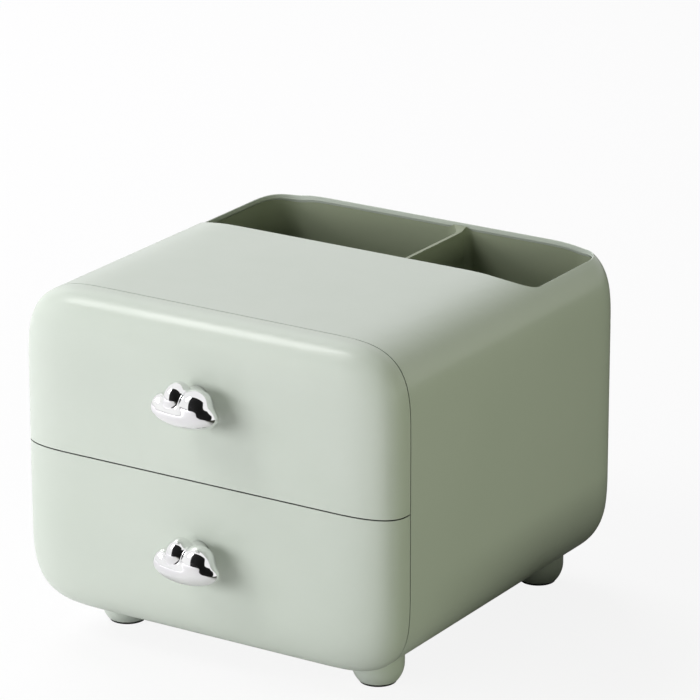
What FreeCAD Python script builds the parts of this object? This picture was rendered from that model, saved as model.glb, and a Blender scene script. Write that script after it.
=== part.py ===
"""Brush holder with two drawers: a rounded desk-top box on four feet.

Millimetres.  +Z is up, +Y runs from the drawer fronts to the back, +X is to the right of
someone who faces the drawers.  The origin is on the floor, under the middle of the box's
overall length, knobs included.
"""
import FreeCAD, Part
import math
import os

# ---- body, seen from outside
body_width = 160.0
body_depth = 166.0          # drawer fronts to back
body_height = 123.2         # without the feet
foot_height = 12.5          # floor to the underside of the body
corner_reach = 35.0         # how far a long edge's rounding runs along each face
corner_power = 3.63         # 2 is a circle's arc, higher is squarer
back_reach = 19.5           # the same for the edges round the back
back_power = 2.77
crown_inset = 24.7          # the drawer fronts' rounding, measured across the front
crown_depth = 12.4          # and measured front to back
crown_power = 2.79
corner_speed = 1.3          # the corner curves' end tangents, in reaches
shell_wall = 2.0
seat_gap = 0.05             # feet and bosses to the shell that they are screwed to
lower_front_height = 62.55  # underside of the body to the seam between the drawers
front_seam = 0.5            # the dark line round each closed drawer front
carcass_setback = 13.65     # front face to the front edge of the outer shell

# ---- brush opening and cup
opening_inset = 6.7         # body's side to the opening's side
opening_start = 100.85      # front face to the opening's front edge
opening_corner = 13.0
rim_skin = 1.1              # what is left of the shell's wall over the cup's rim
rim_overhang = 0.4          # the shell's edge stands this far inside the cup's walls
rim_chamfer = 0.4           # the opening's upper edge
cup_wall = 1.4
cup_floor_height = 6.1      # shell's floor to the top of the cup's floor
cup_floor_wall = 1.9
cup_gap = 0.2
partition_x = 12.3          # middle of the wall between the two pockets
partition_drop = 7.3        # top of the body to the top of that wall
partition_rise = 5.0        # radius with which it climbs to the cup's rim
left_pocket_radius = 8.0    # pocket corners beside the partition
right_pocket_radius = 3.0
cup_leg_radius = 4.0
cup_leg_setback = 13.0      # cup's front face to the middle of its two front legs

# ---- shelves that carry the drawers
shelf_wall = 2.0
shelf_gap = 0.2
lower_shelf_lift = 2.8      # shell's floor to the lower shelf's underside
shelf_front_setback = 1.6   # shell's front edge to the shelves' front edges
runner_inset = 19.0         # tray's side to the middle of a runner
runner_width = 3.0
runner_height = 1.2
runner_start = 6.0          # shelf's front edge to the front of its runners
stop_ridge_height = 1.0
stop_ridge_width = 2.0
stop_ridge_span = 60.0
groove_rib_height = 2.5     # ribs inside the shell that hold the middle shelf
groove_rib_width = 2.0
guide_rib_width = 2.0       # ribs inside the shell that keep the drawers straight
guide_rib_height = 20.0     # above each drawer's floor

# ---- drawers
drawer_travel = 62.0
front_skin = 2.2
flange_thickness = 2.0
flange_gap = 0.25
tray_inset = 10.0           # body's side to the tray's side
upper_head_room = 10.15     # tray's rim to what is over it
lower_head_room = 7.25
tray_wall = 1.8
tray_floor_wall = 1.8
tray_corner = 4.0
tray_edge = 0.7             # lower edges' rounding, in corner radii
tray_clearance = 0.4        # to the guide ribs, each side
slide_gap = 0.2             # tray to runners
closed_gap = 0.3            # tray to the cup, drawer shut
stop_gap = 0.3              # stop lug to stop ridge, drawer out
stop_lug_height = 1.1
stop_lug_length = 2.4
upper_knob_height = 32.1    # above the seam
lower_knob_height = 35.8    # above the underside of the body

# ---- knobs
knob_reach = 16.0           # how far a knob stands out
knob_half_width = 14.7      # its screw to its farther end
knob_neck_radius = 4.6
knob_neck_length = 2.5
knob_thread_depth = 8.0
knob_stations = 9           # outlines that the knob is lofted through
knob_end_angle = 80.0       # degrees from the knob's middle to its flat ends
knob_fullness = 0.55        # 1 is a round edge, lower is a squarer one

# ---- screws
knob_screw_radius = 2.0
knob_screw_head_radius = 3.6
knob_screw_head_height = 2.2
knob_washer_radius = 4.6
knob_washer_thickness = 0.8
knob_boss_radius = 5.0
screw_radius = 1.45
screw_head_radius = 2.9
screw_head_height = 1.9
screw_boss_radius = 3.6
front_screw_inset = 10.0    # tray's side to a screw
front_screw_height = 22.0   # above the tray's underside
front_screw_length = 8.0    # into the front's boss
foot_screw_length = 12.5
hole_clearance = 0.05
pass_clearance = 0.25
slot_width = 0.9            # cross recess in the screw heads
slot_depth = 0.9
slot_reach = 0.6            # half a slot's length, in head radii
head_round = 0.45           # in head heights
screw_end_room = 0.5        # bottom of a hole to the tip of its screw

# ---- feet
foot_inset_x = 25.0         # body's side to the middle of a foot
foot_inset_front = 32.1     # front face to the middle of the front feet
foot_inset_back = 19.4      # back of the body to the middle of the rear feet
foot_top_radius = 9.7
foot_base_radius = 7.4
foot_bulge_height = 7.5     # floor to where the foot's side turns upright
spigot_radius = 4.0
spigot_gap = 0.1
foot_boss_radius = 5.5
foot_head_seat = 6.5        # floor to the seat of the screw's head
pad_radius = 6.8
pad_thickness = 2.0
pad_stand = 1.0             # how far the pad stands below the foot
pad_gap = 0.1
pad_round = 0.25

# ---- places worked out from the sizes above
front_y = (knob_reach - body_depth) / 2
back_y = front_y + body_depth
half_width = body_width / 2
base_z = foot_height
top_z = base_z + body_height
seam_z = base_z + lower_front_height
carcass_y = front_y + carcass_setback
front_back_y = carcass_y - front_seam
inner_floor_z = base_z + shell_wall
opening_half_width = half_width - opening_inset
tray_half_width = half_width - tray_inset
runner_x = tray_half_width - runner_inset
front_screw_x = tray_half_width - front_screw_inset
cup_back_y = back_y - shell_wall - cup_gap
cup_inner_back_y = cup_back_y - cup_wall
opening_back_y = cup_inner_back_y - rim_overhang
opening_front_y = front_y + opening_start
cup_inner_front_y = opening_front_y - rim_overhang
cup_front_y = cup_inner_front_y - cup_wall
cup_inner_half = opening_half_width + rim_overhang
cup_half = cup_inner_half + cup_wall
cup_inner_corner = opening_corner + rim_overhang
cup_outer_corner = cup_inner_corner + cup_wall
cup_floor_z = inner_floor_z + cup_floor_height
shelf_front_y = carcass_y + shelf_front_setback
shelf_back_y = cup_front_y - shelf_gap
middle_shelf_top = seam_z + shelf_wall / 2
lower_shelf_top = inner_floor_z + lower_shelf_lift + shelf_wall
tray_lift = runner_height + slide_gap
tray_back_y = cup_front_y - closed_gap
flange_front_y = front_back_y - flange_thickness
foot_x = half_width - foot_inset_x
front_foot_y = front_y + foot_inset_front
rear_foot_y = back_y - foot_inset_back
beyond = 5.0                # how far a cutting tool runs past what it cuts
touching = 0.001


def vec(x, y, z):
    return FreeCAD.Vector(x, y, z)


UP = vec(0, 0, 1)


def box(x0, x1, y0, y1, z0, z1):
    """A box between two values on each axis."""
    return Part.makeBox(x1 - x0, y1 - y0, z1 - z0, vec(x0, y0, z0))


def cylinder(radius, x, y, z, length, axis):
    return Part.makeCylinder(radius, length, vec(x, y, z), axis)


def soft_corner(reach_a, reach_b, power, count=9):
    """Points on a quarter of a squared-off ellipse, from (reach_a, 0) to (0, reach_b)."""
    points = []
    for step in range(count):
        angle = math.pi / 2 * step / (count - 1)
        c, s = abs(math.cos(angle)), abs(math.sin(angle))
        scale = (c ** power + s ** power) ** (-1 / power)
        points.append((reach_a * scale * c, reach_b * scale * s))
    return points


def section(y, inset):
    """The body's outline across, at depth y, drawn in by inset all round."""
    half = half_width - inset
    low, high = base_z + inset, top_z - inset
    reach = corner_reach - inset
    turns = []
    for sign_x, sign_z, flip in ((1, 1, False), (-1, 1, True), (-1, -1, False), (1, -1, True)):
        centre_x = sign_x * (half - reach)
        centre_z = high - reach if sign_z > 0 else low + reach
        points = [vec(centre_x + sign_x * a, y, centre_z + sign_z * b)
                  for a, b in soft_corner(reach, reach, corner_power)]
        out_of_side, into_side = vec(0, 0, sign_z), vec(-sign_x, 0, 0)
        if flip:
            points.reverse()
            out_of_side, into_side = vec(sign_x, 0, 0), vec(0, 0, -sign_z)
        curve = Part.BSplineCurve()
        spacing = [step / (len(points) - 1) for step in range(len(points))]
        speed = reach * corner_speed
        curve.interpolate(Points=points, Parameters=spacing,
                          InitialTangent=out_of_side * speed, FinalTangent=into_side * speed)
        turns.append(curve.toShape())
    edges = []
    for turn, after in zip(turns, turns[1:] + turns[:1]):
        edges.append(turn)
        edges.append(Part.makeLine(turn.valueAt(turn.LastParameter),
                                   after.valueAt(after.FirstParameter)))
    return Part.Wire(edges)


def prism(y0, y1, inset):
    """The body's section carried straight from y0 to y1."""
    return Part.Face(section(y0, inset)).extrude(vec(0, y1 - y0, 0))


def body_solid(y0, inset):
    """The body from depth y0 to its back, drawn in by inset, with the back's edges rounded."""
    turn_y = back_y - back_reach
    reach = back_reach - inset
    stations = [section(turn_y + out, inset + reach - kept)
                for kept, out in soft_corner(reach, reach, back_power)]
    back = Part.makeLoft(stations, True, False)
    return prism(y0, turn_y, inset).fuse(back).removeSplitter()


def crown_solid(inset, setback, rear_y):
    """The drawer fronts' rounded slab in one piece, drawn in by inset and moved back."""
    turn_y = front_y + crown_depth + setback
    stations = [section(turn_y - out, inset + crown_inset - kept)
                for kept, out in soft_corner(crown_inset, crown_depth, crown_power)]
    front = Part.makeLoft(stations, True, False)
    if rear_y <= turn_y:
        keep = box(-body_width, body_width, front_y - beyond, rear_y, base_z - beyond, top_z + beyond)
        return front.common(keep)
    return front.fuse(prism(turn_y, rear_y, inset)).removeSplitter()


def shell_half_width(z):
    """Half the shell's inner width at height z."""
    reach = corner_reach - shell_wall
    low_turn = inner_floor_z + reach
    high_turn = top_z - shell_wall - reach
    past = max(low_turn - z, z - high_turn, 0.0) / reach
    kept = (1 - past ** corner_power) ** (1 / corner_power)
    return half_width - shell_wall - reach + reach * kept


def plan_prism(x0, x1, y0, y1, left_radius, right_radius, z0, z1):
    """An upright block whose plan is a rectangle with round corners."""
    corners = ((x1, y0, -1, 1, right_radius), (x1, y1, -1, -1, right_radius),
               (x0, y1, 1, -1, left_radius), (x0, y0, 1, 1, left_radius))
    arcs = []
    for index, (x, y, in_x, in_y, radius) in enumerate(corners):
        centre = vec(x + in_x * radius, y + in_y * radius, z0)
        side_point = centre - vec(in_x * radius, 0, 0)
        end_point = centre - vec(0, in_y * radius, 0)
        middle = centre - vec(in_x, in_y, 0) * (radius * math.sqrt(0.5))
        ends = (end_point, side_point) if index % 2 == 0 else (side_point, end_point)
        arcs.append(Part.Arc(ends[0], middle, ends[1]).toShape())
    edges = []
    for arc, after in zip(arcs, arcs[1:] + arcs[:1]):
        edges.append(arc)
        edges.append(Part.makeLine(arc.valueAt(arc.LastParameter), after.valueAt(after.FirstParameter)))
    return Part.Face(Part.Wire(edges)).extrude(vec(0, 0, z1 - z0))


def both_sides(make):
    """The same shape made at +1 and at -1 across the middle."""
    return [make(1), make(-1)]


def cut_all(shape, tools):
    for tool in tools:
        shape = shape.cut(tool)
    return shape


def fuse_all(shape, others):
    return shape.multiFuse(others).removeSplitter() if others else shape


def foot_places():
    return [(side * foot_x, y) for y in (front_foot_y, rear_foot_y) for side in (-1, 1)]


def outer_shell():
    """Sides, top, bottom and back in one moulding, open at the front."""
    middle_z = (base_z + top_z) / 2
    shell = body_solid(carcass_y, 0.0).cut(body_solid(carcass_y - beyond, shell_wall))
    opening = plan_prism(-opening_half_width, opening_half_width, opening_front_y, opening_back_y,
                         opening_corner, opening_corner, middle_z, top_z + beyond)
    seat = plan_prism(-cup_half - cup_gap, cup_half + cup_gap, cup_front_y - cup_gap,
                      cup_back_y + cup_gap, cup_outer_corner + cup_gap, cup_outer_corner + cup_gap,
                      middle_z, top_z + beyond)
    shell = shell.cut(opening).cut(seat.common(body_solid(carcass_y, rim_skin)))
    shell = shell.makeChamfer(rim_chamfer, opening_edges(shell))
    shell = fuse_all(shell, shell_ribs())
    holes = [cylinder(spigot_radius + spigot_gap, x, y, base_z - beyond, 2 * beyond, UP)
             for x, y in foot_places()]
    return cut_all(shell, holes)


def opening_edges(shell):
    """The edges where the brush opening meets the shell's outer face."""
    inner = plan_prism(-opening_half_width, opening_half_width, opening_front_y, opening_back_y,
                       opening_corner, opening_corner, inner_floor_z, top_z + beyond)
    wall = Part.makeCompound([face for face in inner.Faces if face.BoundBox.ZLength > beyond])
    skin = Part.makeCompound(body_solid(carcass_y, 0.0).Faces)
    edges = []
    for edge in shell.Edges:
        along = edge.LastParameter - edge.FirstParameter
        points = [Part.Vertex(edge.valueAt(edge.FirstParameter + share * along))
                  for share in (0.2, 0.5, 0.8)]
        if all(point.distToShape(wall)[0] < touching and point.distToShape(skin)[0] < touching
               for point in points):
            edges.append(edge)
    return edges


def shell_ribs():
    """Ribs inside the sides: two hold the middle shelf, one more guides each drawer."""
    root = half_width - shell_wall / 2
    shelf_edge = half_width - shell_wall - groove_rib_height
    guide_edge = tray_half_width + tray_clearance
    under_shelf = middle_shelf_top - shelf_wall - shelf_gap
    over_shelf = middle_shelf_top + shelf_gap
    ribs = []
    for side in (1, -1):
        for edge, low, width in (
                (shelf_edge, under_shelf - groove_rib_width, groove_rib_width),
                (shelf_edge, over_shelf, groove_rib_width),
                (guide_edge, middle_shelf_top + tray_lift + guide_rib_height, guide_rib_width),
                (guide_edge, lower_shelf_top + tray_lift + guide_rib_height, guide_rib_width)):
            x0, x1 = sorted((side * edge, side * root))
            ribs.append(box(x0, x1, shelf_front_y, shelf_back_y, low, low + width))
    return ribs


def brush_cup():
    """The two brush pockets, hung under the shell's rim and screwed down with the rear feet."""
    lower_z = cup_floor_z - cup_floor_wall
    middle_z = (base_z + top_z) / 2
    room = body_solid(carcass_y, shell_wall + cup_gap)
    upper_room = body_solid(carcass_y, rim_skin + cup_gap)
    low = plan_prism(-cup_half, cup_half, cup_front_y, cup_back_y, cup_outer_corner,
                     cup_outer_corner, lower_z, middle_z).common(room)
    high = plan_prism(-cup_half, cup_half, cup_front_y, cup_back_y, cup_outer_corner,
                      cup_outer_corner, middle_z, top_z + beyond).common(upper_room)
    cup = low.fuse(high).removeSplitter()
    pocket_room = body_solid(carcass_y, shell_wall + cup_gap + cup_wall)
    pocket_room = pocket_room.common(box(-body_width, body_width, carcass_y, back_y,
                                         cup_floor_z, middle_z))
    half_wall = cup_wall / 2
    pockets = ((-cup_inner_half, partition_x - half_wall, cup_inner_corner, left_pocket_radius),
               (partition_x + half_wall, cup_inner_half, right_pocket_radius, cup_inner_corner))
    for x0, x1, left_radius, right_radius in pockets:
        plan = (x0, x1, cup_inner_front_y, cup_inner_back_y, left_radius, right_radius)
        cup = cup.cut(plan_prism(*plan, base_z, middle_z).common(pocket_room))
        cup = cup.cut(plan_prism(*plan, middle_z, top_z + beyond))
    cup = cup.cut(partition_scoop())
    height = lower_z - base_z + cup_floor_wall / 2
    legs = []
    for side in (1, -1):
        legs.append(cylinder(foot_boss_radius, side * foot_x, rear_foot_y, base_z, height, UP))
        legs.append(cylinder(cup_leg_radius, side * foot_x, cup_front_y + cup_leg_setback, base_z,
                             height, UP))
    seat = body_solid(carcass_y, shell_wall + seat_gap)
    cup = fuse_all(cup, [leg.common(seat) for leg in legs])
    depth = foot_head_seat + foot_screw_length - inner_floor_z + pad_gap
    pilots = [cylinder(screw_radius + hole_clearance, side * foot_x, rear_foot_y,
                       inner_floor_z - beyond, depth + beyond, UP) for side in (1, -1)]
    return cut_all(cup, pilots)


def partition_scoop():
    """What is cut away over the partition, so that its top lies below the rim."""
    low = top_z - partition_drop
    high = top_z + beyond
    rise_y = cup_inner_back_y - partition_rise
    rise = Part.Arc(vec(0, rise_y, low),
                    vec(0, rise_y + partition_rise * math.sqrt(0.5),
                        low + partition_rise * (1 - math.sqrt(0.5))),
                    vec(0, cup_inner_back_y, low + partition_rise))
    corners = [vec(0, cup_inner_back_y, low + partition_rise), vec(0, cup_inner_back_y, high),
               vec(0, cup_inner_front_y, high), vec(0, cup_inner_front_y, low), vec(0, rise_y, low)]
    outline = Part.Wire([rise.toShape()] + Part.makePolygon(corners).Edges)
    block = Part.Face(outline).extrude(vec(2 * cup_half, 0, 0))
    block.translate(vec(-cup_half, 0, 0))
    inside = plan_prism(-cup_inner_half, cup_inner_half, cup_inner_front_y, cup_inner_back_y,
                        cup_inner_corner, cup_inner_corner, low - beyond, high)
    return block.common(inside)


def shelf(half, top):
    """A shelf with two runners and a ridge that stops the drawer."""
    plate = box(-half, half, shelf_front_y, shelf_back_y, top - shelf_wall, top)
    extras = both_sides(lambda side: box(side * runner_x - runner_width / 2,
                                         side * runner_x + runner_width / 2,
                                         shelf_front_y + runner_start, shelf_back_y,
                                         top - shelf_wall / 2, top + runner_height))
    extras.append(box(-stop_ridge_span / 2, stop_ridge_span / 2, shelf_front_y,
                      shelf_front_y + stop_ridge_width, top - shelf_wall / 2, top + stop_ridge_height))
    return fuse_all(plate, extras)


def middle_shelf():
    """The upper drawer's shelf, held in the shell's grooves."""
    return shelf(half_width - shell_wall - shelf_gap, middle_shelf_top)


def lower_shelf():
    """The lower drawer's shelf, on bosses that take the front feet's screws."""
    under = lower_shelf_top - shelf_wall
    plate = shelf(shell_half_width(under) - shelf_gap, lower_shelf_top)
    height = under - base_z + shelf_wall / 2
    legs = []
    for side in (1, -1):
        legs.append(cylinder(foot_boss_radius, side * foot_x, front_foot_y, base_z, height, UP))
        legs.append(box(side * foot_x - foot_boss_radius / 2, side * foot_x + foot_boss_radius / 2,
                        (front_foot_y + shelf_back_y) / 2, shelf_back_y, base_z, base_z + height))
    seat = body_solid(carcass_y, shell_wall + seat_gap)
    plate = fuse_all(plate, [leg.common(seat) for leg in legs])
    pilots = [cylinder(screw_radius + hole_clearance, side * foot_x, front_foot_y, base_z,
                       lower_shelf_top + beyond - base_z, UP) for side in (1, -1)]
    return cut_all(plate, pilots)


class Drawer:
    """The heights that tell the two drawers apart."""

    def __init__(self, low, high, shelf_top, rim, knob_z):
        self.low = low
        self.high = high
        self.floor = shelf_top + tray_lift
        self.rim = rim
        self.knob_z = knob_z
        self.screw_z = self.floor + front_screw_height


upper = Drawer(seam_z + front_seam / 2, top_z + beyond, middle_shelf_top,
               top_z - shell_wall - upper_head_room, seam_z + upper_knob_height)
lower = Drawer(base_z - beyond, seam_z - front_seam / 2, lower_shelf_top,
               middle_shelf_top - shelf_wall - lower_head_room, base_z + lower_knob_height)


def front_slab(drawer, margin):
    """The space between one drawer front's upper and lower edges, less a margin."""
    return box(-body_width, body_width, front_y - beyond, carcass_y + beyond, drawer.low + margin,
               drawer.high - margin)


def drawer_front(drawer):
    """A hollow moulded front with bosses for its knob and for the tray's two screws."""
    front = crown_solid(0.0, 0.0, front_back_y).common(front_slab(drawer, 0.0))
    hollow = crown_solid(front_skin, front_skin, front_back_y + beyond)
    front = front.cut(hollow.common(front_slab(drawer, front_skin)))
    length = flange_front_y - front_y - front_skin / 2
    bosses = [cylinder(knob_boss_radius, 0, front_y + front_skin / 2, drawer.knob_z, length,
                       vec(0, 1, 0))]
    bosses += both_sides(lambda side: cylinder(screw_boss_radius, side * front_screw_x,
                                               front_y + front_skin / 2, drawer.screw_z, length,
                                               vec(0, 1, 0)))
    front = fuse_all(front, bosses)
    bores = [cylinder(knob_screw_radius + pass_clearance, 0, front_y - beyond, drawer.knob_z,
                      carcass_setback + beyond, vec(0, 1, 0))]
    pilot_y = flange_front_y - front_screw_length
    bores += both_sides(lambda side: cylinder(screw_radius + hole_clearance, side * front_screw_x,
                                              pilot_y, drawer.screw_z, front_screw_length + beyond,
                                              vec(0, 1, 0)))
    return cut_all(front, bores)


def drawer_tray(drawer):
    """The tray, with the flange that closes the back of its front, and its two stop lugs."""
    flange = crown_solid(front_skin + flange_gap, front_skin + flange_gap, front_back_y)
    flange = flange.common(front_slab(drawer, front_skin + flange_gap))
    flange = flange.common(box(-body_width, body_width, flange_front_y, front_back_y,
                               base_z, top_z))
    start = flange_front_y - tray_corner
    outside = rounded_tray(0.0, start, drawer.floor, drawer.rim)
    inside = rounded_tray(tray_wall, start, drawer.floor + tray_floor_wall, top_z + beyond)
    behind = box(-body_width, body_width, front_back_y, back_y, base_z, top_z + beyond)
    tray = flange.fuse(outside.common(behind)).cut(inside.common(behind))
    lug_y = shelf_front_y + stop_ridge_width + stop_gap + drawer_travel
    lugs = both_sides(lambda side: box(*sorted((side * stop_ridge_span / 2, side * stop_ridge_span / 4)),
                                       lug_y, lug_y + stop_lug_length,
                                       drawer.floor - stop_lug_height,
                                       drawer.floor + tray_floor_wall / 2))
    tray = fuse_all(tray, lugs)
    through = flange_thickness + 2 * beyond
    bores = [cylinder(knob_screw_radius + pass_clearance, 0, flange_front_y - beyond, drawer.knob_z,
                      through, vec(0, 1, 0))]
    bores += both_sides(lambda side: cylinder(screw_radius + pass_clearance, side * front_screw_x,
                                              flange_front_y - beyond, drawer.screw_z, through,
                                              vec(0, 1, 0)))
    return cut_all(tray, bores)


def rounded_tray(wall, y0, z0, z1):
    """A block with the tray's plan, drawn in by one wall, its lower edges rounded."""
    radius = tray_corner - wall
    block = plan_prism(-tray_half_width + wall, tray_half_width - wall, y0, tray_back_y - wall,
                       radius, radius, z0, z1)
    low_edges = [edge for edge in block.Edges if edge.BoundBox.ZMax - z0 < 1e-6]
    return block.makeFillet(radius * tray_edge, low_edges)


def cloud_outline(y, scale):
    """A knob's outline at depth y: three humps over a broad round base."""
    shape = ((14.7, -2.9), (13.3, 1.8), (9.8, 6.3), (6.1, 7.6), (2.3, 7.2), (-2.1, 8.9), (-5.0, 7.5),
             (-7.1, 4.4), (-9.1, 2.7), (-11.6, 0.6), (-12.8, -3.1), (-11.2, -6.8), (-6.0, -9.2),
             (2.2, -9.4), (8.8, -8.3), (13.1, -5.8))
    grow = scale * knob_half_width / max(x for x, z in shape)
    points = [vec(x * grow, y, z * grow) for x, z in shape]
    curve = Part.BSplineCurve()
    curve.interpolate(Points=points, PeriodicFlag=True)
    return Part.Wire([curve.toShape()])


def knob(drawer):
    """A cloud-shaped metal knob on a short round neck."""
    body_length = knob_reach - knob_neck_length
    half = body_length / 2
    middle_y = front_y - knob_neck_length - half
    stations = []
    end_angle = math.radians(knob_end_angle)
    for step in range(knob_stations):
        angle = end_angle * (2 * step / (knob_stations - 1) - 1)
        stations.append(cloud_outline(middle_y + half * math.sin(angle) / math.sin(end_angle),
                                      math.cos(angle) ** knob_fullness))
    cloud = Part.makeLoft(stations, True, False)
    neck = cylinder(knob_neck_radius, 0, front_y, 0, knob_neck_length + half, vec(0, -1, 0))
    whole = cloud.fuse(neck)
    bore = cylinder(knob_screw_radius + hole_clearance, 0, front_y + beyond, 0,
                    knob_thread_depth + beyond, vec(0, -1, 0))
    whole = whole.cut(bore)
    whole.translate(vec(0, 0, drawer.knob_z))
    return whole


def screw(x, y, z, axis, radius, length, head_radius, head_height):
    """A screw whose head's seat is at the point given; its shank runs along the axis."""
    shank = cylinder(radius, x, y, z, length, axis)
    head = Part.makeCylinder(head_radius, head_height, vec(x, y, z) - axis * head_height, axis)
    rim = [edge for edge in head.Edges
           if edge.Closed and (edge.CenterOfMass - vec(x, y, z)).Length > head_height / 2]
    head = head.makeFillet(head_height * head_round, rim)
    whole = shank.fuse(head)
    back = vec(x, y, z) - axis * head_height
    across = vec(1, 0, 0)
    up = axis.cross(across)
    for along, over in ((across, up), (up, across)):
        corner = back - along * (head_radius * slot_reach) - over * (slot_width / 2)
        run = along * (2 * head_radius * slot_reach)
        points = [corner, corner + run, corner + run + over * slot_width, corner + over * slot_width,
                  corner]
        slot = Part.Face(Part.makePolygon(points)).extrude(axis * slot_depth)
        whole = whole.cut(slot)
    return whole


def knob_screw(drawer):
    """The knob's screw, from inside the tray through its front."""
    length = front_back_y + knob_washer_thickness - front_y + knob_thread_depth - screw_end_room
    return screw(0, front_back_y + knob_washer_thickness, drawer.knob_z, vec(0, -1, 0),
                 knob_screw_radius, length, knob_screw_head_radius, knob_screw_head_height)


def knob_washer(drawer):
    disc = cylinder(knob_washer_radius, 0, front_back_y, drawer.knob_z, knob_washer_thickness,
                    vec(0, 1, 0))
    hole = cylinder(knob_screw_radius + hole_clearance, 0, front_back_y - beyond, drawer.knob_z,
                    knob_washer_thickness + 2 * beyond, vec(0, 1, 0))
    return disc.cut(hole)


def front_screws(drawer):
    """Two screws that hold the tray to its front."""
    length = flange_thickness + front_screw_length - screw_end_room
    return Part.makeCompound(both_sides(lambda side: screw(
        side * front_screw_x, front_back_y, drawer.screw_z, vec(0, -1, 0), screw_radius, length,
        screw_head_radius, screw_head_height)))


def foot(x, y):
    """A round foot whose side curves in towards the floor, with a spigot on top."""
    low = pad_stand
    side = foot_bulge_height - low
    step_in = foot_top_radius - foot_base_radius
    radius = (side ** 2 + step_in ** 2) / (2 * step_in)
    centre_x = foot_top_radius - radius
    half_turn = math.asin(side / radius) / 2
    middle = vec(centre_x + radius * math.cos(half_turn), 0,
                 foot_bulge_height - radius * math.sin(half_turn))
    bulge = Part.Arc(vec(foot_base_radius, 0, low), middle, vec(foot_top_radius, 0, foot_bulge_height))
    top = base_z + beyond
    corners = [vec(foot_top_radius, 0, foot_bulge_height), vec(foot_top_radius, 0, top),
               vec(0, 0, top), vec(0, 0, low), vec(foot_base_radius, 0, low)]
    outline = Part.Wire([bulge.toShape()] + Part.makePolygon(corners).Edges)
    block = Part.Face(outline).revolve(vec(0, 0, 0), UP, 360)
    block.translate(vec(x, y, 0))
    block = block.cut(body_solid(carcass_y, -seat_gap))
    spigot = cylinder(spigot_radius, x, y, base_z - beyond, beyond + shell_wall, UP)
    block = block.fuse(spigot)
    recess = cylinder(pad_radius + pad_gap, x, y, low - beyond, pad_thickness - pad_stand + beyond,
                      UP)
    head_room = cylinder(screw_head_radius + pass_clearance, x, y, low, foot_head_seat - low, UP)
    passage = cylinder(screw_radius + pass_clearance, x, y, low, base_z + beyond, UP)
    return cut_all(block, [recess, head_room, passage])


def foot_pad(x, y):
    """A soft disc let into a foot, over its screw."""
    pad = cylinder(pad_radius, x, y, 0, pad_thickness, UP)
    low_rim = [edge for edge in pad.Edges if edge.BoundBox.ZMax < 1e-6]
    return pad.makeFillet(pad_round, low_rim)


def foot_screws():
    """Four screws, one up through each foot."""
    return Part.makeCompound([screw(x, y, foot_head_seat, UP, screw_radius,
                                    foot_screw_length, screw_head_radius, screw_head_height)
                              for x, y in foot_places()])


def all_parts():
    parts = {
        "outer_shell": outer_shell(),
        "brush_cup": brush_cup(),
        "middle_shelf": middle_shelf(),
        "lower_shelf": lower_shelf(),
        "foot_screws": foot_screws(),
    }
    for name, drawer in (("upper", upper), ("lower", lower)):
        parts[name + "_drawer_front"] = drawer_front(drawer)
        parts[name + "_drawer_tray"] = drawer_tray(drawer)
        parts[name + "_knob"] = knob(drawer)
        parts[name + "_knob_screw"] = knob_screw(drawer)
        parts[name + "_knob_washer"] = knob_washer(drawer)
        parts[name + "_front_screws"] = front_screws(drawer)
    names = ("front_left", "front_right", "rear_left", "rear_right")
    for name, (x, y) in zip(names, foot_places()):
        parts[name + "_foot"] = foot(x, y)
        parts[name + "_foot_pad"] = foot_pad(x, y)
    return parts


os.makedirs("parts", exist_ok=True)
for node, shape in all_parts().items():
    shape.exportStep(os.path.join("parts", node + ".step"))
    size = shape.BoundBox
    print("%-24s %d solid(s), %9.1f mm3, valid %s, x %.2f..%.2f y %.2f..%.2f z %.2f..%.2f" % (
        node, len(shape.Solids), shape.Volume, shape.isValid(), size.XMin, size.XMax, size.YMin,
        size.YMax, size.ZMin, size.ZMax))
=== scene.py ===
import math
import bmesh
import bpy
from mathutils import Matrix, Vector


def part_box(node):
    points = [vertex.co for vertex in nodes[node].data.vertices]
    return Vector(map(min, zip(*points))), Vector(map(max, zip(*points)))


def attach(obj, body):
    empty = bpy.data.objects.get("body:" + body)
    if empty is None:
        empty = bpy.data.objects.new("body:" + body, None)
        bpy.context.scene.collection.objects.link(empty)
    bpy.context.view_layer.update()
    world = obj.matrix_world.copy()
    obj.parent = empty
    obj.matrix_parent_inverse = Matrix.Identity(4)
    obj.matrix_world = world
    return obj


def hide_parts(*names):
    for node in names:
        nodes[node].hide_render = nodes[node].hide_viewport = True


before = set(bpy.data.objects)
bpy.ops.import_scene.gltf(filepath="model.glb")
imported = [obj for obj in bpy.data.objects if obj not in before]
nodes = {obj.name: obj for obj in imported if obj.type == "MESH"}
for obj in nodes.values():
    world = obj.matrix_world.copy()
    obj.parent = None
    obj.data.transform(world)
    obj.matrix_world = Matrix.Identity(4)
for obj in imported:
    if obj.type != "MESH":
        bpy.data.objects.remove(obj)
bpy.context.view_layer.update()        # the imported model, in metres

scene = bpy.context.scene


# ---------------------------------------------------------------- camera
CAMERA_YAW = math.radians(32.424)            # to the right of the drawer fronts
CAMERA_PITCH = math.radians(18.974)          # above the floor
CAMERA_ROLL = math.radians(-0.045)
CAMERA_TARGET = Vector((0, 0.008, 0.07447))  # the point that the three distances start from
CAMERA_RIGHT = 0.009136
CAMERA_UP = 0.024867
CAMERA_BACK = 1.6353
FOCAL_PIXELS = 4415.9
PICTURE_PIXELS = 700                         # the picture's width
SENSOR_WIDTH = 36.0                          # millimetres, like the lens


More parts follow.
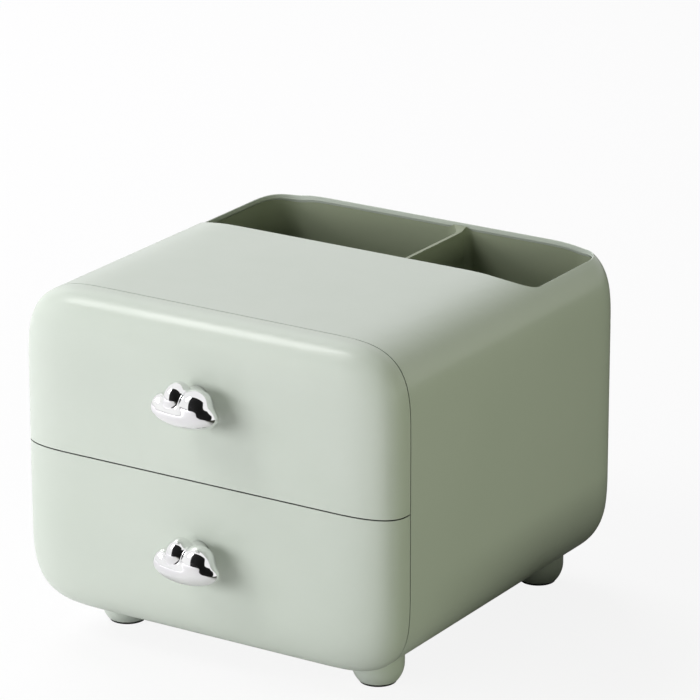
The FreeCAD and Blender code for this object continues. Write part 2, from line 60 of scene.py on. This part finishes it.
def make_camera():
    """The photograph's view: 32 degrees to the right of the fronts, 19 degrees above them."""
    right = Vector((math.cos(CAMERA_YAW), math.sin(CAMERA_YAW), 0))
    up = Vector((-math.sin(CAMERA_YAW) * math.sin(CAMERA_PITCH),
                 math.cos(CAMERA_YAW) * math.sin(CAMERA_PITCH), math.cos(CAMERA_PITCH)))
    back = Vector((math.sin(CAMERA_YAW) * math.cos(CAMERA_PITCH),
                   -math.cos(CAMERA_YAW) * math.cos(CAMERA_PITCH), math.sin(CAMERA_PITCH)))
    turned_right = right * math.cos(CAMERA_ROLL) + up * math.sin(CAMERA_ROLL)
    turned_up = up * math.cos(CAMERA_ROLL) - right * math.sin(CAMERA_ROLL)
    data = bpy.data.cameras.new("Camera")
    data.sensor_width = SENSOR_WIDTH
    data.lens = FOCAL_PIXELS / PICTURE_PIXELS * SENSOR_WIDTH
    data.clip_start = 0.05
    data.clip_end = 30
    camera = bpy.data.objects.new("Camera", data)
    place = CAMERA_TARGET + right * CAMERA_RIGHT + up * CAMERA_UP + back * CAMERA_BACK
    camera.matrix_world = Matrix.Translation(place) @ Matrix(
        (turned_right, turned_up, back)).transposed().to_4x4()
    scene.collection.objects.link(camera)
    scene.camera = camera


# ---------------------------------------------------------------- materials
SAGE, SAGE_SHADE = (195, 203, 192), (191, 200, 188)      # the outside, as the eye sees it
CUP_IN_PAINTED_SHADE, CUP_IN_PAINTED_SHADE_DRIFT = (141, 149, 127), (137, 145, 122)        # the brush pockets: the sage plastic darkened by a painted shade
INNER, INNER_SHADE = (193, 202, 189), (189, 199, 185)    # trays and shelves
SATIN, MATT = 0.34, 0.45     # roughness of the outside and of the inner plastic
OUTER_COAT = 0.15
SEAM_PAINTED_SHADE_DEPTH = 0.002           # a face has to stand this close for the fronts' plastic to take a painted seam shade
SEAM_SHUT, SEAM_OPEN = 0.15, 0.60    # the open share of the sky at which the painted seam shade is full, or none
# the painted shade of a shut seam
SEAM_PAINTED_SHADE = (0.01, 0.01, 0.01)
SLOT_BY_ENDING = (           # every other node is body_plastic
    ("_knob", "knob_chrome"),
    ("_screw", "steel"),
    ("_screws", "steel"),
    ("_washer", "steel"),
    ("_pad", "pad_rubber"),
    ("_tray", "inner_plastic"),
    ("_shelf", "inner_plastic"),
    ("brush_cup", "cup_plastic"),
)


class Shader:
    """A material whose nodes are added one by one."""

    def __init__(self, name):
        self.material = bpy.data.materials.new(name)
        self.material.use_nodes = True
        self.tree = self.material.node_tree
        self.surface = self.tree.nodes["Principled BSDF"]
        self.place = self.add("ShaderNodeTexCoord").outputs["Object"]

    def add(self, kind, **settings):
        node = self.tree.nodes.new(kind)
        for key, value in settings.items():
            setattr(node, key, value)
        return node

    def link(self, source, target):
        self.tree.links.new(source, target)

    def set(self, **values):
        for name, value in values.items():
            self.surface.inputs[name.replace("_", " ")].default_value = value

    def noise(self, scale, detail, roughness=0.5):
        texture = self.add("ShaderNodeTexNoise")
        texture.inputs["Scale"].default_value = scale
        texture.inputs["Detail"].default_value = detail
        texture.inputs["Roughness"].default_value = roughness
        self.link(self.place, texture.inputs["Vector"])
        return texture.outputs["Fac"]

    def spread(self, value, low, high, from_low=0.3, from_high=0.7):
        node = self.add("ShaderNodeMapRange")
        for name, number in (("From Min", from_low), ("From Max", from_high), ("To Min", low),
                             ("To Max", high)):
            node.inputs[name].default_value = number
        self.link(value, node.inputs["Value"])
        return node.outputs["Result"]

    def mix(self, factor, first, second):
        node = self.add("ShaderNodeMix", data_type="RGBA")
        self.link(factor, node.inputs[0])
        for socket, value in ((node.inputs[6], first), (node.inputs[7], second)):
            if isinstance(value, tuple):
                socket.default_value = (*value, 1)
            else:
                self.link(value, socket)
        return node.outputs[2]

    def bump(self, height, distance, under=None):
        node = self.add("ShaderNodeBump")
        node.inputs["Strength"].default_value = 1.0
        node.inputs["Distance"].default_value = distance
        self.link(height, node.inputs["Height"])
        if under:
            self.link(under, node.inputs["Normal"])
        return node.outputs["Normal"]


def linear(red, green, blue):
    """A colour given as the eye sees it, 0 to 255, as light."""
    return tuple((v / 255 / 12.92) if v / 255 < 0.04045 else ((v / 255 + 0.055) / 1.055) ** 2.4
                 for v in (red, green, blue))


def plastic(name, main, shade, roughness, coat, painted_shade_depth=None):
    """Moulded plastic: a faint drift of colour, fine grain and a slightly uneven gloss.

    With a seam depth, a painted shade darkens its colour where another face stands close over it, as
    in a shut seam.
    """
    s = Shader(name)
    colour = s.mix(s.spread(s.noise(14, 3), 0, 1), linear(*main), linear(*shade))
    if painted_shade_depth:
        # painted shade: the colour goes near black where the ambient occlusion finds a close face
        open_sky = s.add("ShaderNodeAmbientOcclusion", samples=8)
        open_sky.inputs["Distance"].default_value = painted_shade_depth
        colour = s.mix(s.spread(open_sky.outputs["AO"], 1, 0, SEAM_SHUT, SEAM_OPEN), colour,
                       SEAM_PAINTED_SHADE)
    s.link(colour, s.surface.inputs["Base Color"])
    s.link(s.spread(s.noise(55, 4, 0.6), roughness - 0.03, roughness + 0.03),
           s.surface.inputs["Roughness"])
    waves = s.bump(s.noise(160, 2), 0.00004)
    s.link(s.bump(s.noise(2600, 2), 0.000006, under=waves), s.surface.inputs["Normal"])
    s.set(Coat_Weight=coat, Coat_Roughness=0.12, IOR=1.46)
    return s.material


def chrome(name):
    s = Shader(name)
    s.link(s.mix(s.spread(s.noise(90, 2), 0, 1), (0.90, 0.90, 0.90), (0.84, 0.84, 0.85)),
           s.surface.inputs["Base Color"])
    s.link(s.spread(s.noise(400, 3), 0.03, 0.07), s.surface.inputs["Roughness"])
    s.link(s.bump(s.noise(220, 2), 0.00002), s.surface.inputs["Normal"])
    s.set(Metallic=1.0)
    return s.material


def steel(name):
    s = Shader(name)
    s.link(s.mix(s.noise(500, 3), (0.62, 0.61, 0.59), (0.50, 0.49, 0.48)),
           s.surface.inputs["Base Color"])
    s.link(s.spread(s.noise(900, 4), 0.22, 0.38), s.surface.inputs["Roughness"])
    s.link(s.bump(s.noise(1500, 3), 0.00001), s.surface.inputs["Normal"])
    s.set(Metallic=1.0)
    return s.material


def rubber(name):
    s = Shader(name)
    s.link(s.mix(s.noise(300, 4), (0.006, 0.006, 0.006), (0.014, 0.013, 0.012)),
           s.surface.inputs["Base Color"])
    s.link(s.spread(s.noise(700, 3), 0.62, 0.82), s.surface.inputs["Roughness"])
    s.link(s.bump(s.noise(3000, 3), 0.00004), s.surface.inputs["Normal"])
    s.set(Specular_IOR_Level=0.1)
    return s.material


def make_materials():
    """One material for each of the record's slots, and the fronts' own with a painted shade in their
    seams.
    """
    return {
        "body_plastic": plastic("SagePlastic", SAGE, SAGE_SHADE, SATIN, OUTER_COAT),
        "front_plastic_seam_shade": plastic("SageFrontPlasticSeamShade", SAGE, SAGE_SHADE, SATIN, OUTER_COAT,
                                 painted_shade_depth=SEAM_PAINTED_SHADE_DEPTH),
        "cup_plastic": plastic("SageCupPlasticPaintedShade", CUP_IN_PAINTED_SHADE, CUP_IN_PAINTED_SHADE_DRIFT, MATT, 0.0),
        "inner_plastic": plastic("SageInnerPlastic", INNER, INNER_SHADE, MATT, 0.0),
        "knob_chrome": chrome("KnobChrome"),
        "steel": steel("ScrewSteel"),
        "pad_rubber": rubber("PadRubber"),
    }


def slot_of(name):
    """A node's slot in the record, by the ending of its name."""
    return next((slot for ending, slot in SLOT_BY_ENDING if name.endswith(ending)), "body_plastic")


def dress(made):
    """Gives every node the material of its slot, and the fronts their own."""
    for name in nodes:
        node = nodes[name]
        slot = slot_of(name)
        node.data.materials.clear()
        node.data.materials.append(made["front_plastic_seam_shade" if name.endswith("_front") else slot])


# ---------------------------------------------------------------- knobs
KNOB_DEPTH = 0.0135          # the cast cloud without its neck, front to back
NECK_RADIUS = 0.0046
KNOB_EYE = Vector((0.0005, 0, -0.001))   # from this point inside, each ray leaves the cloud once
KNOB_BLEND = 16              # higher makes the creases between the lobes sharper
KNOB_SUBDIVISIONS = 6
ALONG_AXIS = 1e-9            # a ray this straight counts as parallel to the neck
FAR = 1.0                    # past any point of the knob
KNOB_LOBES = (               # middle (across, back, up) and half sizes, about the screw's axis
    ((0.0010, -0.00065, -0.00275), (0.0137, 0.0059, 0.0056)),      # the belly
    ((-0.0091, 0.0, -0.0011), (0.0035, 0.0041, 0.0040)),           # the humps, left to right
    ((-0.0026, 0.0001, 0.0021), (0.0048, 0.0060, 0.0061)),
    ((0.0052, 0.0001, 0.0001), (0.0069, 0.0063, 0.0066)),
)


def lobe_reach(ray, middle, half):
    """How far along a ray from the eye a lobe's far side is, or 0 where the ray misses it."""
    start = Vector([(KNOB_EYE[i] - middle[i]) / half[i] for i in range(3)])
    step = Vector([ray[i] / half[i] for i in range(3)])
    a, b, c = step.dot(step), start.dot(step), start.dot(start) - 1
    inside = b * b - a * c
    return max(0, (-b + math.sqrt(inside)) / a) if inside > 0 else 0


def neck_reach(ray, neck_end):
    """The same for the neck, a round bar that runs back from the knob's middle."""
    a = ray.x ** 2 + ray.z ** 2
    b = KNOB_EYE.x * ray.x + KNOB_EYE.z * ray.z
    c = KNOB_EYE.x ** 2 + KNOB_EYE.z ** 2 - NECK_RADIUS ** 2
    side = (-b + math.sqrt(b * b - a * c)) / a if a > ALONG_AXIS else FAR
    return min(side, neck_end / ray.y) if ray.y > ALONG_AXIS else 0


def make_knob(which, metal):
    """The cast cloud: a belly and three humps that meet in creases, and the neck behind them."""
    node = which + "_knob"
    low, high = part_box(node)
    screw_low, screw_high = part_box(node + "_screw")
    middle = Vector(((screw_low[0] + screw_high[0]) / 2, low[1] + KNOB_DEPTH / 2,
                     (screw_low[2] + screw_high[2]) / 2))
    neck_end = high[1] - middle.y
    cloud = bmesh.new()
    bmesh.ops.create_icosphere(cloud, subdivisions=KNOB_SUBDIVISIONS, radius=1.0)
    for vert in cloud.verts:
        ray = vert.co.normalized()
        reaches = [lobe_reach(ray, *lobe) for lobe in KNOB_LOBES]
        cast = sum(reach ** KNOB_BLEND for reach in reaches) ** (1 / KNOB_BLEND)
        vert.co = middle + KNOB_EYE + ray * max(cast, neck_reach(ray, neck_end))
        vert.co.y = max(vert.co.y, low[1])
    mesh = bpy.data.meshes.new(which + "_cloud_knob")
    cloud.to_mesh(mesh)
    cloud.free()
    mesh.shade_smooth()
    mesh.materials.append(metal)
    knob = bpy.data.objects.new(which + "_cloud_knob", mesh)
    scene.collection.objects.link(knob)
    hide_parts(node)
    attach(knob, which + "_drawer")


# ---------------------------------------------------------------- studio
AIM = Vector((0, 0, 0.07))           # near the box's middle: the lamps face it
ROOM_COLOUR, ROOM_STRENGTH = (0.98, 1, 0.90, 1), 0.09
FLOOR_HALF = 3.0
FLOOR_WHITE = 0.88                   # how much of the floor that the camera sees is plain white
BOUNCE_SHADE_SLANT, BOUNCE_SHADE_EDGE = 0.45, 0.12     # the painted bounce shade is full where x + slant * y is over the edge
FLAG_MIDDLE = Vector((0.50, -0.85, 0.60)).normalized() * 1.1 + AIM
FLAG_ACROSS = Vector((1, 0.15, 0)).normalized()
FLAG_UPWARD = Vector((0, 0.5, 0.87)).normalized()
FLAG_LEFT, FLAG_RIGHT, FLAG_BOTTOM, FLAG_TOP = -0.85, 1.1, -1.00, 0.95
LOW_FLAG_X = 0.20
LOW_FLAG_FRONT, LOW_FLAG_BACK, LOW_FLAG_BOTTOM, LOW_FLAG_TOP = -0.03, 0.35, 0.018, 0.056
WHITE, COOL, WARM = (1, 1, 1), (1.0, 0.98, 1.03), (0.955, 1.0, 0.77)
LAMPS = (    # name, direction, distance, width, height, power, colour, mirrored by the pieces
    ("KeyLight", (-0.33, -0.92, 0.22), 1.5, 0.9, 0.5, 9.2, COOL, False),
    ("LeftLight", (-0.75, -0.65, 0.24), 1.5, 0.7, 0.5, 7.0, COOL, False),
    ("BackLight", (-0.66, 0.42, 0.75), 1.5, 0.9, 0.9, 15.5, COOL, False),
    ("EdgeLight", (-0.507, -0.46, 0.72), 1.5, 0.35, 0.70, 7.8, WHITE, True),
    ("SideLight", (1.0, -0.14, 0.15), 0.65, 0.3, 0.15, 1.3, WARM, False),
)


def rectangle(left, right, bottom, top):
    return ((left, bottom), (right, bottom), (right, top), (left, top))


def sheet(name, corners):
    """A flat mesh with four corners."""
    mesh = bpy.data.meshes.new(name)
    mesh.from_pydata(corners, [], [(0, 1, 2, 3)])
    board = bpy.data.objects.new(name, mesh)
    scene.collection.objects.link(board)
    return board


def light_path_mix(tree, seen, unseen, output, *rays):
    """Shows one shader to the rays named and another to all others."""
    path = tree.nodes.new("ShaderNodeLightPath")
    fact = path.outputs[rays[0]]
    for ray in rays[1:]:
        either = tree.nodes.new("ShaderNodeMath")
        either.operation = "MAXIMUM"
        tree.links.new(fact, either.inputs[0])
        tree.links.new(path.outputs[ray], either.inputs[1])
        fact = either.outputs[0]
    mix = tree.nodes.new("ShaderNodeMixShader")
    tree.links.new(fact, mix.inputs[0])
    tree.links.new(unseen, mix.inputs[1])
    tree.links.new(seen, mix.inputs[2])
    tree.links.new(mix.outputs[0], output)


def make_world():
    world = bpy.data.worlds.new("Studio")
    world.use_nodes = True
    tree = world.node_tree
    tree.nodes.clear()
    output = tree.nodes.new("ShaderNodeOutputWorld")
    white = tree.nodes.new("ShaderNodeBackground")
    white.inputs["Color"].default_value = (1, 1, 1, 1)
    white.inputs["Strength"].default_value = 1.0
    room = tree.nodes.new("ShaderNodeBackground")
    room.inputs["Color"].default_value = ROOM_COLOUR
    room.inputs["Strength"].default_value = ROOM_STRENGTH
    light_path_mix(tree, white.outputs[0], room.outputs[0], output.inputs["Surface"],
                   "Is Camera Ray", "Is Glossy Ray", "Is Transmission Ray")
    scene.world = world


def make_floor():
    """Pale paper. To the object's right its bounce is dark, a painted shade that the camera doesn't
    see.
    """
    floor = sheet("Floor", [(x, y, 0) for x, y in
                            rectangle(-FLOOR_HALF, FLOOR_HALF, -FLOOR_HALF, FLOOR_HALF)])
    s = Shader("FloorPaper")
    tone = s.mix(s.noise(3, 3), (0.80, 0.80, 0.80), (0.78, 0.78, 0.78))
    s.link(tone, s.surface.inputs["Base Color"])
    s.set(Roughness=0.9)
    glow = s.add("ShaderNodeEmission")
    glow.inputs["Strength"].default_value = 1.0
    pale = s.add("ShaderNodeMixShader")
    pale.inputs[0].default_value = FLOOR_WHITE
    s.link(s.surface.outputs[0], pale.inputs[1])
    s.link(glow.outputs[0], pale.inputs[2])
    apart = s.add("ShaderNodeSeparateXYZ")
    s.link(s.place, apart.inputs[0])
    slant = s.add("ShaderNodeMath", operation="MULTIPLY_ADD")
    s.link(apart.outputs["Y"], slant.inputs[0])
    slant.inputs[1].default_value = BOUNCE_SHADE_SLANT
    s.link(apart.outputs["X"], slant.inputs[2])
    # painted shade: the floor's bounce to the object's right is near black
    bounce = s.add("ShaderNodeBsdfDiffuse")
    s.link(s.mix(s.spread(slant.outputs[0], 0, 1, 0.0, BOUNCE_SHADE_EDGE), (0.80, 0.80, 0.80),
                 (0.06, 0.06, 0.05)), bounce.inputs["Color"])
    output = s.tree.nodes["Material Output"].inputs["Surface"]
    light_path_mix(s.tree, pale.outputs[0], bounce.outputs[0], output, "Is Camera Ray")
    floor.data.materials.append(s.material)


def area(name, direction, distance, width, height, power, colour, glossy):
    """A soft box that faces the object from a direction; glossy says if the pieces mirror it."""
    data = bpy.data.lights.new(name, "AREA")
    data.shape = "RECTANGLE"
    data.size, data.size_y = width, height
    data.energy = power
    data.color = colour
    light = bpy.data.objects.new(name, data)
    light.location = AIM + Vector(direction).normalized() * distance
    light.rotation_mode = "QUATERNION"
    light.rotation_quaternion = (AIM - light.location).to_track_quat("-Z", "Y")
    light.visible_glossy = glossy
    scene.collection.objects.link(light)


def card(name, corners, in_gloss, in_light):
    """A black card that the camera doesn't see; it shows in gloss, or shades the lamps."""
    board = sheet(name, corners)
    s = Shader(name + "Cloth")
    s.link(s.mix(s.noise(40, 3), (0.010, 0.010, 0.010), (0.014, 0.014, 0.014)),
           s.surface.inputs["Base Color"])
    s.set(Roughness=0.95)
    board.data.materials.append(s.material)
    board.visible_camera = False
    board.visible_diffuse = False
    board.visible_glossy = in_gloss
    board.visible_shadow = in_light


def make_cards():
    """One card beside the camera for the chrome, and a low one that shades the rear right foot."""
    card("Flag", [FLAG_MIDDLE + FLAG_ACROSS * a + FLAG_UPWARD * b for a, b in
                  rectangle(FLAG_LEFT, FLAG_RIGHT, FLAG_BOTTOM, FLAG_TOP)], True, False)
    card("LowFlag", [(LOW_FLAG_X, y, z) for y, z in
                     rectangle(LOW_FLAG_FRONT, LOW_FLAG_BACK, LOW_FLAG_BOTTOM, LOW_FLAG_TOP)],
         False, True)


def make_lights():
    """Two low boxes front left, a high one behind, one for the front's edge, a warm one right."""
    for lamp in LAMPS:
        area(*lamp)


make_camera()
materials = make_materials()
dress(materials)
for which in ("upper", "lower"):
    make_knob(which, materials["knob_chrome"])
make_world()
make_floor()
make_cards()
make_lights()
scene.view_settings.view_transform = "Standard"
